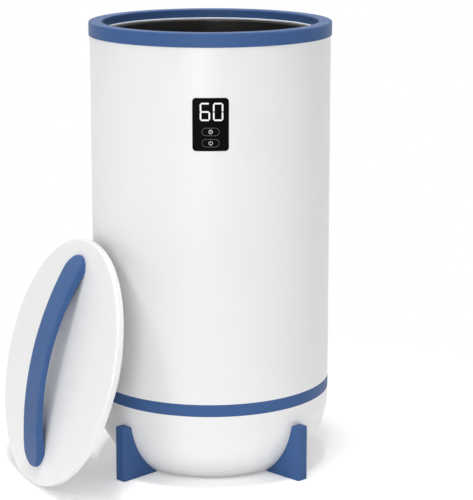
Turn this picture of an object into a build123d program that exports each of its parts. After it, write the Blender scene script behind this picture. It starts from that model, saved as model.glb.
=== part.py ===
from build123d import *
from math import asin, atan2, cos, degrees, radians, sin, tan
import os

# Electric towel warmer bucket with a lift-off lid, in millimetres, +Z up.
# The origin is on the floor under the bucket's axis and the control panel faces -Y.
# The bucket stands open and its lid leans against the left side of the body.

# --- Body -----------------------------------------------------------------
body_radius = 148.0
shell_wall = 2.4
shell_step = 0.8            # how far the shell's top steps in under the rim ring
fit_gap = 0.2               # clearance between moulded rings that slide together
seat_gap = 0.15             # clearance behind a curved face that seats on another
overrun = 0.5               # how far a cut or a joined form runs past a face

# --- Rim ------------------------------------------------------------------
rim_top_z = 554.0
rim_height = 16.5
rim_proud = 1.5             # rim's outside beyond the body
rim_width = 16.5            # flat top of the ring, outside to inside
rim_web = 3.0
rim_inner_skirt = 2.5
rim_inner_depth = 10.5      # blue wall seen inside the mouth
rim_outer_round = 1.8
rim_inner_round = 1.5

# --- Inner bucket ---------------------------------------------------------
insulation_space = 22.0     # from the body's outside in to the bucket
bucket_wall = 1.2
bucket_floor_z = 142.0
bucket_corner = 12.0
bucket_mouth_round = 2.0
bucket_flange_width = 15.0
gasket_thickness = 2.0
gasket_slope_drop = 0.8
gasket_setback = 5.0        # gasket's inner edge behind the bucket's wall
frame_shelf = 3.0
frame_skirt_height = 15.0
frame_skirt_wall = 2.5
frame_bucket_gap = 1.3

# --- Heater and insulation ------------------------------------------------
heater_thickness = 2.0
heater_low_z = 190.0
heater_top_gap = 70.5       # below the bucket's flange
heater_seam = 12.0
sleeve_low_z = 152.0
sleeve_gap = 4.1            # between the sleeve and the shell
sleeve_window_width = 68.0
sleeve_window_margin = 22.0

# --- Base -----------------------------------------------------------------
bowl_wall = 3.0
bowl_floor_z = 3.0
bowl_curve_radius = 100.0
bowl_curve_top_z = 84.0
trim_bottom_z = 92.5
trim_height = 15.0
trim_thickness = 2.5
neck_wall = 2.5
neck_lap = 12.0             # neck above the trim ring, inside the shell
flange_height = 6.0
cover_margin = 8.64         # bowl's flat rim round the base cover
cover_thickness = 2.5
cover_seat_width = 10.0
cover_screw_inset = 5.0
base_ring_inset = 13.0      # rubber ring's middle inside the bowl's flange
base_ring_width = 10.0
base_ring_inlay = 1.2
chassis_thickness = 3.0
chassis_hole_radius = 25.0
chassis_rib_height = 8.0
chassis_rib_count = 8
cradle_inset = 12.5         # cradle inside the bucket's flat underside
cradle_wall = 3.5

# --- Feet -----------------------------------------------------------------
foot_count = 4
foot_first_azimuth = 45.0   # degrees from the front
foot_proud = 11.0           # foot's outer edge beyond the body
foot_thickness = 16.2
foot_top_z = 68.0
foot_lift = 0.5             # blue foot above the floor, on its rubber pad
foot_edge_round = 3.0
foot_top_round = 1.5
foot_pad_length = 34.0
foot_pad_width = 9.0
foot_pad_inlay = 1.5
foot_pad_setback = 6.0
foot_screw_angles = (22.0, 42.0)    # degrees down the bowl's curve
foot_screw_pad = 1.5        # pad's height inside the bowl
foot_screw_pad_radius = 4.0
foot_screw_bite = 9.0       # screw's length inside the foot

# --- Control panel --------------------------------------------------------
panel_width = 42.5
panel_height = 62.5
panel_corner = 4.2
panel_drop = 106.4          # panel's centre below the rim's top
window_thickness = 2.0
window_proud = 0.2
window_gap = 0.15
housing_flange_lap = 6.0
housing_flange_thickness = 2.0
housing_wall = 2.0
board_width = 48.0
board_height = 70.0
board_thickness = 1.6
board_space = 12.6          # control board behind the shell's inside
display_width = 34.0
display_height = 26.0
display_depth = 8.5
display_chamfer = 1.0
display_rise = 15.0         # display block above the panel's centre
display_light_margin = 1.5
button_width = 20.7
button_height = 9.5
button_gap = 0.25
button_travel = 0.8         # also how far the plunger stands out of its switch
button_flange_width = 24.7
button_flange_height = 12.0
button_flange_thickness = 1.0
button_stem_radius = 2.2
timer_button_drop = 8.5     # buttons below the panel's centre
power_button_drop = 21.8
switch_side = 6.0
switch_depth = 3.5
plunger_radius = 1.75
plunger_gap = 0.1
plunger_length = 2.7
cable_width = 12.0
cable_thickness = 1.2
wire_slot_depth = 6.0       # slots in the chassis for the cable and the leads
wire_slot_margin = 2.0
wire_slot_wall = 1.8        # between a slot and the neck's inside
wire_bend = 8.0             # step along a wire's route at each bend

# --- Base electronics and sensors ------------------------------------------
power_board_size = (90.0, 70.0)
power_board_z = 14.0
power_board_hole_inset = 5.0
board_post_radius = 3.5
relay_size = (20.0, 16.0, 16.0)
relay_place = (-24.0, 8.0)
transformer_size = (30.0, 26.0, 24.0)
transformer_place = (20.0, 6.0)
capacitor_radius = 6.0
capacitor_height = 18.0
capacitor_place = (-6.0, 12.0)
terminal_size = (26.0, 12.0, 14.0)
terminal_count = 3
terminal_mouth = (5.0, 3.0, 4.0)
terminal_mouth_rise = 4.0
terminal_setback = 1.0      # from the board's rear edge
connector_size = (15.0, 6.0, 7.0)
thermostat_radius = 8.0
thermostat_height = 7.0
thermostat_y = 30.0
thermostat_tab = (0.8, 4.0, 5.0)
thermostat_tab_spacing = 8.0
bracket_thickness = 1.2
bracket_width = 9.0
bracket_clearance = 0.4
tab_clearance = 0.6
fuse_radius = 2.2
fuse_length = 12.0
fuse_wire_radius = 0.5
fuse_wire_length = 6.0
fuse_x = 40.0
fuse_saddle_gap = 2.3       # between the clip's screw head and its saddle
sensor_x = -40.0
sensor_lug_radius = 5.0
sensor_lug_thickness = 1.0
sensor_bead_radius = 1.8
sensor_bead_length = 9.0
lead_thickness = 1.6

# --- Cord inlet at the back -----------------------------------------------
gland_z = 66.0
gland_pad_radius = 12.0
gland_pad_proud = 0.6       # inlet pad's face beyond the body
gland_pad_depth = 10.6
gland_shank_radius = 5.9
gland_flange_radius = 9.0
gland_flange_thickness = 2.5
gland_flange_round = 1.0
gland_shank_length = 19.0
gland_bore_radius = 3.6
gland_nut_radius = 9.0
gland_nut_thickness = 4.5

# --- Lid ------------------------------------------------------------------
lid_overhang = 2.5          # lid's edge beyond the rim ring
lid_edge_height = 8.5
lid_wall = 2.5
lid_top_round = 3.2
lid_bottom_round = 0.8
liner_wall = 2.2
liner_flange = 2.0
plug_step_clearance = 2.0   # plug's upper step inside the rim ring
plug_step_depth = 9.0
plug_lower_clearance = 1.5  # plug's lower part inside the bucket
plug_straight_depth = 13.0  # below this the plug tapers in to its floor
plug_taper_width = 21.7     # how far the tapered side comes in
plug_depth = 26.0
plug_round = 3.0
seal_height = 4.0
seal_inlay = 1.0
seal_lip = 1.7
seal_drop = 2.5
lid_foam_top_gap = 3.0      # foam below the cover's plate, clear of the screw heads
lid_foam_gap = 0.5
lid_boss_radius = 4.0
lid_boss_inset = 10.8       # bosses inside the plug's floor edge
handle_length = 264.0
handle_width = 42.0
handle_rise = 27.0          # top of the arch above the lid
handle_end_rise = 4.3
handle_gap_length = 224.0
handle_gap_height = 20.5
handle_edge_round = 2.0
handle_screw_inset = 12.0
handle_screw_bite = 4.0     # screw's length inside the handle
lid_azimuth = 27.0          # degrees the leaning lid stands round towards the front
lid_lean = 16.2             # degrees from upright
lid_spin = 3.6              # degrees the handle is turned from upright
lid_body_gap = 0.2

# --- Screws ---------------------------------------------------------------
screw_radius = 1.5
screw_head_radius = 3.0
screw_head_height = 2.0
screw_grip = 0.05           # screw's clearance in a threaded hole
screw_pass = 0.3            # screw's clearance in a plain hole
screw_slot = (3.6, 0.8, 0.8)
small_screw_radius = 0.75   # screws of the control board, like the others but smaller

# --- Sizes that follow ------------------------------------------------------
shell_inner_radius = body_radius - shell_wall
shell_top_z = rim_top_z - rim_web
rim_radius = body_radius + rim_proud
rim_bottom_z = rim_top_z - rim_height
rim_inner_radius = rim_radius - rim_width
bucket_radius = body_radius - insulation_space
sleeve_radius = shell_inner_radius - sleeve_gap
gasket_top_z = rim_top_z - rim_inner_depth
bucket_top_z = gasket_top_z - gasket_thickness
bucket_outer_radius = bucket_radius + bucket_wall
bucket_flange_radius = bucket_radius + bucket_flange_width
bucket_under_z = bucket_floor_z - bucket_wall
frame_top_z = bucket_top_z - bucket_wall
heater_high_z = bucket_top_z - heater_top_gap
trim_top_z = trim_bottom_z + trim_height
neck_radius = body_radius - trim_thickness - fit_gap
neck_inner_radius = neck_radius - neck_wall
neck_top_z = trim_top_z + neck_lap
bowl_centre_radius = body_radius - bowl_curve_radius
bowl_floor_angle = asin((bowl_curve_top_z - bowl_floor_z) / bowl_curve_radius)
cover_seat_radius = bowl_centre_radius + bowl_curve_radius * cos(bowl_floor_angle) - cover_margin
flange_inner_radius = cover_seat_radius - cover_seat_width
base_ring_radius = flange_inner_radius - base_ring_inset
flange_top_z = bowl_floor_z + flange_height
cover_top_z = bowl_floor_z + cover_thickness
board_top_z = power_board_z + board_thickness
chassis_top_z = neck_top_z + chassis_thickness
cradle_radius = bucket_radius - bucket_corner - cradle_inset
foot_radius = body_radius + foot_proud
panel_centre_z = rim_top_z - panel_drop
display_centre_z = panel_centre_z + display_rise
timer_button_z = panel_centre_z - timer_button_drop
power_button_z = panel_centre_z - power_button_drop
board_front_y = board_space - shell_inner_radius
window_radius = body_radius + window_proud
window_back_radius = window_radius - window_thickness
housing_front_radius = shell_inner_radius - seat_gap
housing_back_radius = housing_front_radius - housing_flange_thickness
board_low_z = panel_centre_z - board_height / 2
stem_back_y = board_front_y - switch_depth - button_travel
cable_wall_y = -(sleeve_radius + shell_inner_radius) / 2
wire_drop_radius = neck_inner_radius - wire_slot_wall - wire_slot_depth / 2
gland_pad_face_y = body_radius + gland_pad_proud
lid_radius = rim_radius + lid_overhang
plug_step_radius = rim_inner_radius - plug_step_clearance
plug_radius = bucket_radius - plug_lower_clearance
plug_floor_radius = plug_radius - plug_taper_width
lid_boss_circle = plug_floor_radius - lid_boss_inset
lid_plate_z = lid_edge_height - lid_wall
liner_floor_z = liner_wall - plug_depth
foot_step = 360.0 / foot_count
foot_azimuths = [foot_first_azimuth + foot_step * number for number in range(foot_count)]


# --- Shapes used again and again --------------------------------------------
def turned(*edges):
    """Solid turned about Z from a closed outline of (radius, height) edges."""
    return revolve(Plane.XZ * make_face(Curve() + list(edges)), Axis.Z)


def ring(inner, outer, low, high):
    """Plain ring between two radii and two heights."""
    return Pos(0, 0, low) * (rod(outer, high - low) - rod(inner, high - low))


def rod(radius, length):
    """Cylinder that stands on the origin."""
    return Cylinder(radius, length, align=(Align.CENTER, Align.CENTER, Align.MIN))


def block(width, depth, height):
    """Box that stands on the origin, centred across it."""
    return Box(width, depth, height, align=(Align.CENTER, Align.CENTER, Align.MIN))


def front_prism(outline, height_z, front_y, back_y):
    """Prism of an (x, z) outline centred at a height, between two depths at the front."""
    back = Plane((0, back_y, height_z), x_dir=(1, 0, 0), z_dir=(0, -1, 0))
    return extrude(back * outline, back_y - front_y)


def front_rod(radius, height_z, front_y, back_y):
    """Cylinder along Y at the front, between two depths."""
    return front_prism(Circle(radius), height_z, front_y, back_y)


def curved_plate(outline, height_z, inner, outer):
    """Plate with an (x, z) outline, bent round the body between two radii."""
    reach = max(outline.bounding_box().size.X, outline.bounding_box().size.Y)
    sleeve = ring(inner, outer, height_z - reach, height_z + reach)
    return sleeve & front_prism(outline, height_z, -outer - overrun, -inner / 2)


def screw(length):
    """Slotted pan-head screw whose head seats on the origin, with its shank along +Z."""
    head = Pos(0, 0, -screw_head_height) * rod(screw_head_radius, screw_head_height)
    rim = head.edges().group_by(Axis.Z)[0]
    head = fillet(rim, screw_head_height / 3)
    slot = Pos(0, 0, -screw_head_height) * block(*screw_slot)
    return head - slot + rod(screw_radius, length)


def hole(clearance, length):
    """Screw hole along +Z that starts on the origin."""
    return rod(screw_radius + clearance, length)


def corner(centre, radius, start):
    """Quarter round that starts at an angle and turns anticlockwise."""
    return CenterArc(centre, radius, start, 90)


def save(node, *solids):
    """Write one node's solids to its own file."""
    whole = solids[0] if len(solids) == 1 else Compound(children=[Part() + solid for solid in solids])
    export_step(whole, f"parts/{node}.step")


# --- Base -------------------------------------------------------------------
def bowl_angle(depth_z, radius):
    """Angle down the bowl's curve at which an arc of this radius reaches a height."""
    return degrees(asin((bowl_curve_top_z - depth_z) / radius))


def bowl_point(depth_z, radius):
    """Point of that arc at a height."""
    angle = radians(bowl_angle(depth_z, radius))
    return (bowl_centre_radius + radius * cos(angle), depth_z)


def bowl_arc(depth_z, radius):
    """Arc of the bowl's curve from a height up to where the wall stands upright."""
    angle = bowl_angle(depth_z, radius)
    return CenterArc((bowl_centre_radius, bowl_curve_top_z), radius, -angle, angle)


def bowl_normal(azimuth, angle, inset):
    """Place on the bowl's curve, inset from its face, with +Z pointing out of it."""
    reach = bowl_curve_radius - inset
    radius = bowl_centre_radius + reach * cos(radians(angle))
    height = bowl_curve_top_z - reach * sin(radians(angle))
    turn = azimuth - 90
    return Rot(0, 0, turn) * Pos(radius, 0, height) * Rot(0, 90 + angle, 0)


def foot_screw_places(inset):
    """Places of all foot screws, from the inside of the bowl outwards."""
    return [bowl_normal(azimuth, angle, inset) for azimuth in foot_azimuths for angle in foot_screw_angles]


def around(count, radius, height, first=45.0):
    """Places on a circle about Z."""
    return [Rot(0, 0, first + 360.0 / count * number) * Pos(radius, 0, height) for number in range(count)]


def base_bowl():
    """White bowl with the neck for the shell, a flange for the cover, bosses and the inlet pad."""
    inner_curve = bowl_curve_radius - bowl_wall
    inner_radius = body_radius - bowl_wall
    ledge_z = trim_bottom_z - bowl_wall
    wall = Polyline(
        (body_radius, bowl_curve_top_z),
        (body_radius, trim_bottom_z),
        (neck_radius, trim_bottom_z),
        (neck_radius, neck_top_z),
        (neck_inner_radius, neck_top_z),
        (neck_inner_radius, ledge_z),
        (inner_radius, ledge_z),
        (inner_radius, bowl_curve_top_z),
    )
    flange = Polyline(
        bowl_point(flange_top_z, inner_curve),
        (flange_inner_radius, flange_top_z),
        (flange_inner_radius, cover_top_z),
        (cover_seat_radius, cover_top_z),
        (cover_seat_radius, bowl_floor_z),
        bowl_point(bowl_floor_z, bowl_curve_radius),
    )
    outside = bowl_arc(bowl_floor_z, bowl_curve_radius)
    bowl = turned(outside, wall, bowl_arc(flange_top_z, inner_curve), flange)
    pad_inset = bowl_wall + foot_screw_pad
    pads = [place * rod(foot_screw_pad_radius, bowl_wall) for place in foot_screw_places(pad_inset)]
    inwards = Pos(0, gland_pad_face_y, gland_z) * Rot(90, 0, 0)
    inlet_pad = inwards * rod(gland_pad_radius, gland_pad_depth)
    boss = rod(screw_radius + bowl_wall, flange_height)
    bosses = [place * boss for place in cover_screw_places(flange_top_z)]
    foot_hole = hole(screw_pass, pad_inset + 2 * overrun)
    cuts = [place * foot_hole for place in foot_screw_places(pad_inset + overrun)]
    cover_hole = hole(screw_grip, 2 * flange_height)
    cuts += [place * cover_hole for place in cover_screw_places(cover_top_z)]
    cuts += [inwards * rod(gland_shank_radius + fit_gap, gland_shank_length)]
    return bowl + pads + inlet_pad + bosses - cuts


def cover_screw_places(height):
    """Places of the four base cover screws at a height."""
    return around(4, flange_inner_radius + cover_screw_inset, height, 0)


def base_ring_inner():
    """Inside radius of the rubber ring under the base."""
    return base_ring_radius - base_ring_width / 2


def base_cover():
    """Round plate under the bowl, grooved for the rubber ring, with posts for the power board."""
    plate = Pos(0, 0, bowl_floor_z) * rod(cover_seat_radius - fit_gap, cover_thickness)
    groove_top = bowl_floor_z + base_ring_inlay
    groove = ring(base_ring_inner(), base_ring_inner() + base_ring_width, bowl_floor_z, groove_top)
    post_height = power_board_z - cover_top_z
    post = rod(board_post_radius, post_height) - hole(screw_grip, post_height)
    posts = [place * post for place in board_screw_places(cover_top_z)]
    holes = [place * hole(screw_pass, cover_thickness) for place in cover_screw_places(bowl_floor_z)]
    return plate - groove + posts - holes


def base_ring():
    """Rubber ring that the bucket rests on, with its foot on the floor."""
    outer = base_ring_inner() + base_ring_width
    return ring(base_ring_inner(), outer, 0, bowl_floor_z + base_ring_inlay)


def base_cover_screws():
    """Four screws up through the base cover."""
    return [place * screw(2 * flange_height) for place in cover_screw_places(bowl_floor_z)]


def trim_ring():
    """Blue ring between the bowl and the shell, flush with both."""
    return ring(neck_radius + fit_gap, body_radius, trim_bottom_z, trim_top_z)


def chassis():
    """Plate on the neck of the bowl that carries the bucket on a cradle ring, ribbed below."""
    radius = shell_inner_radius - fit_gap
    low_z = neck_top_z - chassis_rib_height
    plate = Pos(0, 0, neck_top_z) * rod(radius, chassis_thickness)
    cradle = ring(cradle_radius - cradle_wall, cradle_radius, chassis_top_z, bucket_under_z)
    collar = Pos(0, 0, low_z) * rod(chassis_hole_radius + cradle_wall, chassis_rib_height)
    rib_start = chassis_hole_radius + cradle_wall / 2
    rib_length = cradle_radius - cradle_wall / 2 - rib_start
    rib = Pos(rib_start + rib_length / 2, 0, low_z) * block(rib_length, cradle_wall, chassis_rib_height)
    step = 360.0 / chassis_rib_count
    ribs = [Rot(0, 0, step * (number + 0.5)) * rib for number in range(chassis_rib_count)]
    wire_hole = Pos(0, 0, low_z) * rod(chassis_hole_radius, chassis_rib_height + chassis_thickness)
    slot = block(cable_width + 2 * wire_slot_margin, wire_slot_depth, chassis_thickness)
    slots = [Pos(0, side * wire_drop_radius, neck_top_z) * slot for side in (-1, 1)]
    return plate + cradle + collar + ribs - wire_hole - slots


# --- Feet -------------------------------------------------------------------
def foot(azimuth):
    """Blue radial foot: an upright fin whose inner edge is scribed to the bowl's curve."""
    depth = foot_radius - bowl_centre_radius
    fin = block(depth, foot_thickness, foot_top_z - foot_lift)
    fin = Pos(bowl_centre_radius + depth / 2, 0, foot_lift) * fin
    fin = fillet(fin.edges().filter_by(Axis.Z).group_by(Axis.X)[-1], foot_edge_round)
    fin = fillet(fin.faces().sort_by(Axis.Z)[-1].edges().group_by(Axis.X)[-1], foot_top_round)
    scribe = bowl_curve_radius + seat_gap
    bowl = turned(
        bowl_arc(0, scribe),
        Polyline(
            (bowl_centre_radius + scribe, bowl_curve_top_z),
            (0, bowl_curve_top_z),
            (0, 0),
            bowl_point(0, scribe),
        ),
    )
    pad = Pos(pad_centre(), 0, foot_lift) * pad_shape(foot_pad_inlay)
    fin = Rot(0, 0, azimuth - 90) * (fin - bowl - pad)
    places = [bowl_normal(azimuth, angle, 0) for angle in foot_screw_angles]
    return fin - [place * hole(screw_grip, foot_screw_bite + 2 * overrun) for place in places]


def pad_centre():
    """Distance of a foot pad's centre from the bucket's axis."""
    return foot_radius - foot_pad_setback - foot_pad_length / 2


def pad_shape(height):
    """Round-ended strip of one foot pad, standing on the origin."""
    return extrude(SlotOverall(foot_pad_length, foot_pad_width), height)


def foot_pads():
    """Rubber strips let into the feet, proud of them by the foot's lift."""
    pad = Pos(pad_centre(), 0, 0) * pad_shape(foot_lift + foot_pad_inlay)
    return [Rot(0, 0, azimuth - 90) * pad for azimuth in foot_azimuths]


def foot_screws():
    """Two screws through the bowl's wall into each foot."""
    inset = bowl_wall + foot_screw_pad
    return [place * screw(inset + foot_screw_bite) for place in foot_screw_places(inset)]


# --- Body -------------------------------------------------------------------
def outer_shell():
    """White tube, stepped in at the top for the rim ring and cut for the control panel."""
    step_radius = body_radius - shell_step
    shell = turned(
        Polyline(
            (shell_inner_radius, trim_top_z),
            (body_radius, trim_top_z),
            (body_radius, rim_bottom_z),
            (step_radius, rim_bottom_z),
            (step_radius, shell_top_z),
            (shell_inner_radius, shell_top_z),
            close=True,
        )
    )
    outline = panel_outline(window_gap)
    inside_y = 2 * shell_wall - shell_inner_radius
    opening = front_prism(outline, panel_centre_z, -body_radius - overrun, inside_y)
    return shell - opening


def rim_ring():
    """Blue channel ring over the top of the shell, with a wall down inside the mouth."""
    skirt_radius = body_radius - shell_step + fit_gap
    skirt_inner = rim_inner_radius + rim_inner_skirt
    outside = Polyline(
        (skirt_inner, gasket_top_z),
        (skirt_inner, shell_top_z),
        (skirt_radius, shell_top_z),
        (skirt_radius, rim_bottom_z),
        (rim_radius, rim_bottom_z),
        (rim_radius, rim_top_z - rim_outer_round),
    )
    inside = Polyline(
        (rim_inner_radius, rim_top_z - rim_inner_round),
        (rim_inner_radius, gasket_top_z),
        (skirt_inner, gasket_top_z),
    )
    outer_flat = rim_radius - rim_outer_round
    inner_flat = rim_inner_radius + rim_inner_round
    top = Line((outer_flat, rim_top_z), (inner_flat, rim_top_z))
    outer_round = corner((outer_flat, rim_top_z - rim_outer_round), rim_outer_round, 0)
    inner_round = corner((inner_flat, rim_top_z - rim_inner_round), rim_inner_round, 90)
    return turned(outside, outer_round, top, inner_round, inside)


def inner_gasket():
    """White ring on the bucket's flange, sloping in under the rim ring."""
    inner = bucket_radius + gasket_setback
    return turned(
        Polyline(
            (inner, bucket_top_z),
            (bucket_flange_radius, bucket_top_z),
            (bucket_flange_radius, gasket_top_z),
            (rim_inner_radius, gasket_top_z),
            (inner, gasket_top_z - gasket_slope_drop),
            close=True,
        )
    )


def inner_bucket():
    """Coated bucket pressed from sheet, with a flange, a rounded mouth and a rounded floor."""
    floor_radius = bucket_radius - bucket_corner
    mouth_z = bucket_top_z - bucket_mouth_round
    mouth_radius = bucket_radius + bucket_mouth_round
    corner_z = bucket_floor_z + bucket_corner
    under_round = bucket_mouth_round - bucket_wall
    flange = Polyline(
        (mouth_radius, bucket_top_z),
        (bucket_flange_radius, bucket_top_z),
        (bucket_flange_radius, frame_top_z),
        (mouth_radius, frame_top_z),
    )
    bottom = Polyline(
        (floor_radius, bucket_under_z),
        (0, bucket_under_z),
        (0, bucket_floor_z),
        (floor_radius, bucket_floor_z),
    )
    return turned(
        bottom,
        corner((floor_radius, corner_z), bucket_corner, 270),
        Line((bucket_radius, corner_z), (bucket_radius, mouth_z)),
        corner((mouth_radius, mouth_z), bucket_mouth_round, 90),
        flange,
        corner((mouth_radius, mouth_z), under_round, 90),
        Line((bucket_outer_radius, mouth_z), (bucket_outer_radius, corner_z)),
        corner((floor_radius, corner_z), bucket_corner + bucket_wall, 270),
    )


def upper_frame():
    """Ring inside the shell's top, with the shelf that the bucket's flange hangs on."""
    radius = shell_inner_radius - fit_gap
    shelf_z = frame_top_z - frame_shelf
    shelf = ring(bucket_outer_radius + frame_bucket_gap, radius, shelf_z, frame_top_z)
    return shelf + ring(radius - frame_skirt_wall, radius, shelf_z - frame_skirt_height, shelf_z)


def heater_radius():
    """Inside radius of the heating mat."""
    return bucket_outer_radius + seat_gap


def heater_wrap():
    """Heating mat wrapped round the bucket, with its seam at the back."""
    mat = ring(heater_radius(), heater_radius() + heater_thickness, heater_low_z, heater_high_z)
    seam = block(heater_seam, 4 * heater_thickness, heater_high_z - heater_low_z)
    return mat - Pos(0, heater_radius(), heater_low_z) * seam


def insulation_sleeve():
    """Felt sleeve round the heating mat, open behind the control panel."""
    inner = heater_radius() + heater_thickness + 2 * seat_gap
    top = frame_top_z - frame_shelf - fit_gap
    window = Rectangle(sleeve_window_width, board_height + 2 * sleeve_window_margin)
    cut = front_prism(window, panel_centre_z, -body_radius, -inner / 2)
    return ring(inner, sleeve_radius, sleeve_low_z, top) - cut


# --- Control panel ------------------------------------------------------------
def panel_outline(margin):
    """Rounded outline of the display window, grown by a margin."""
    return RectangleRounded(panel_width + 2 * margin, panel_height + 2 * margin, panel_corner + margin)


def button_outline(margin):
    """Pill outline of a button, grown by a margin."""
    return SlotOverall(button_width + 2 * margin, button_height + 2 * margin)


def button_holes(inner, outer):
    """Clearance cuts for both buttons between two radii."""
    return [
        front_prism(button_outline(button_gap), height, -outer, -inner)
        for height in (timer_button_z, power_button_z)
    ]


def display_window():
    """Glossy black window bent to the body, with a hole for each button."""
    plate = curved_plate(panel_outline(0), panel_centre_z, window_back_radius, window_radius)
    return plate - button_holes(window_back_radius / 2, window_radius + overrun)


def board_corner_rods(radius, front_y, back_y):
    """Rods along Y at the four corners of the control board, for its bosses and screw holes."""
    single = front_rod(radius, panel_centre_z, front_y, back_y)
    return [Pos(across, 0, up) * single for across, up in board_corners()]


def board_corners():
    """Corners of the control board where its screws go, as (x, z) from its centre."""
    across = board_width / 2 - 2 * screw_radius
    along = board_height / 2 - 2 * screw_radius
    return [(side * across, end * along) for side in (-1, 1) for end in (-1, 1)]


def control_housing():
    """Black holder behind the shell: a bent flange, a pad under the window and a box for the board."""
    lap = panel_outline(housing_flange_lap)
    flange = curved_plate(lap, panel_centre_z, housing_back_radius, housing_front_radius)
    pad_front = window_back_radius - seat_gap
    pad = curved_plate(panel_outline(-window_gap), panel_centre_z, housing_back_radius, pad_front)
    outside = Rectangle(board_width, board_height)
    inside = Rectangle(board_width - 2 * housing_wall, board_height - 2 * housing_wall)
    reach = housing_front_radius
    inside_shell = ring(0, housing_back_radius + seat_gap, panel_centre_z - reach, panel_centre_z + reach)
    box = front_prism(outside, panel_centre_z, -reach, board_front_y)
    box = (box - front_prism(inside, panel_centre_z, -reach, board_front_y)) & inside_shell
    bosses = [boss & inside_shell for boss in board_corner_rods(2 * screw_radius, -reach, board_front_y)]
    light = Rectangle(display_width - 2 * display_light_margin, display_height - 2 * display_light_margin)
    cuts = [front_prism(light, display_centre_z, -body_radius, board_front_y)]
    cuts += button_holes(-board_front_y, body_radius)
    notch = Rectangle(connector_size[0] + 2 * fit_gap, 4 * housing_wall)
    notch_front_y = board_front_y - connector_size[1] - fit_gap
    cuts += [front_prism(notch, board_low_z, notch_front_y, board_front_y)]
    drill_front_y = board_front_y - 2 * housing_wall
    cuts += board_corner_rods(small_screw_radius + screw_grip, drill_front_y, board_front_y)
    return flange + pad + box + bosses - cuts


def control_board():
    """Circuit board across the back of the housing."""
    back_y = board_front_y + board_thickness
    board = front_prism(Rectangle(board_width, board_height), panel_centre_z, board_front_y, back_y)
    return board - board_corner_rods(small_screw_radius + screw_pass, board_front_y, back_y)


def control_screws():
    """Four small screws through the corners of the control board."""
    share = small_screw_radius / screw_radius
    small = scale(screw(2 * (screw_head_height + board_thickness)), share)
    place = Pos(0, board_front_y + board_thickness, panel_centre_z) * Rot(90, 0, 0)
    return [Pos(across, 0, up) * place * small for across, up in board_corners()]


def display_module():
    """Two-digit display block on the control board."""
    outline = Rectangle(display_width, display_height)
    block_y = board_front_y - display_depth
    body = front_prism(outline, display_centre_z, block_y, board_front_y)
    return chamfer(body.edges().filter_by(Axis.Z), display_chamfer)


def button(height_z):
    """Pill button: a cap bent flush with the window, a flange behind it and a stem."""
    flange_outline = SlotOverall(button_flange_width, button_flange_height)
    flange_front = housing_back_radius - seat_gap
    cap = curved_plate(button_outline(0), height_z, flange_front - overrun, window_radius)
    flange_back = flange_front - button_flange_thickness
    flange = curved_plate(flange_outline, height_z, flange_back, flange_front)
    stem = front_rod(button_stem_radius, height_z, overrun - flange_front, stem_back_y)
    return cap + flange + stem


def switch_body(height_z):
    """Push switch on the board, with the hole its plunger slides in."""
    front_y = board_front_y - switch_depth
    body = front_prism(Rectangle(switch_side, switch_side), height_z, front_y, board_front_y)
    bore = front_rod(plunger_radius + plunger_gap, height_z, front_y, front_y + plunger_length)
    return body - bore


def switch_plunger(height_z):
    """Plunger that the button's stem pushes into the switch."""
    return front_rod(plunger_radius, height_z, stem_back_y, stem_back_y + plunger_length)


def cable_route():
    """Flat cable's route from the control board to the power board, as (y, z) points."""
    top_y = board_front_y - connector_size[1] / 2
    low_z = board_top_z + connector_size[2] / 2
    edge_y = -power_board_size[1] / 2
    return [
        (top_y, board_low_z + connector_size[2] / 2),
        (top_y, board_low_z - wire_bend),
        (cable_wall_y, board_low_z - 2 * wire_bend),
        (cable_wall_y, chassis_top_z + 2 * wire_bend),
        (-wire_drop_radius, chassis_top_z + wire_bend),
        (-wire_drop_radius, neck_top_z - 4 * wire_bend),
        (edge_y - wire_bend, low_z),
        (edge_y + connector_size[1], low_z),
    ]


def ribbon_cable():
    """Flat cable that follows its route down the front of the body."""
    strip = trace(Polyline(*cable_route()), cable_thickness)
    return extrude(Plane.YZ * strip, cable_width / 2, both=True)


def ribbon_connectors():
    """Sockets of the flat cable on the control board and the power board."""
    width, depth, height = connector_size
    socket = block(width, depth, height)
    upper = Pos(0, board_front_y - depth / 2, board_low_z) * socket
    lower = Pos(0, depth - power_board_size[1] / 2, board_top_z) * socket
    cable = ribbon_cable()
    return [upper - cable, lower - cable]


# --- Base electronics and sensors ----------------------------------------------
def board_screw_places(height):
    """Corners of the power board where its screws go."""
    across = power_board_size[0] / 2 - power_board_hole_inset
    along = power_board_size[1] / 2 - power_board_hole_inset
    return [Pos(side * across, end * along, height) for side in (-1, 1) for end in (-1, 1)]


def power_board():
    """Circuit board on the base cover's posts."""
    board = Pos(0, 0, power_board_z) * block(*power_board_size, board_thickness)
    return board - [place * hole(screw_pass, board_thickness) for place in board_screw_places(power_board_z)]


def power_board_screws():
    """Four screws down into the base cover's posts."""
    length = power_board_z - cover_top_z
    return [place * Rot(180, 0, 0) * screw(length) for place in board_screw_places(board_top_z)]


def relay():
    """Relay that switches the heater."""
    return Pos(*relay_place, board_top_z) * block(*relay_size)


def transformer():
    """Small transformer for the control supply."""
    return Pos(*transformer_place, board_top_z) * block(*transformer_size)


def filter_capacitor():
    """Round capacitor between the relay and the transformer."""
    return Pos(*capacitor_place, board_top_z) * rod(capacitor_radius, capacitor_height)


def terminal_block():
    """Screw terminals at the back, where the mains wires end."""
    width, depth, height = terminal_size
    back_y = power_board_size[1] / 2 - terminal_setback
    pitch = width / terminal_count
    mouth = Pos(0, back_y - terminal_mouth[1] / 2, board_top_z + terminal_mouth_rise) * block(*terminal_mouth)
    first = -pitch * (terminal_count - 1) / 2
    mouths = [Pos(first + pitch * number, 0, 0) * mouth for number in range(terminal_count)]
    return Pos(0, back_y - depth / 2, board_top_z) * block(width, depth, height) - mouths


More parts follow.
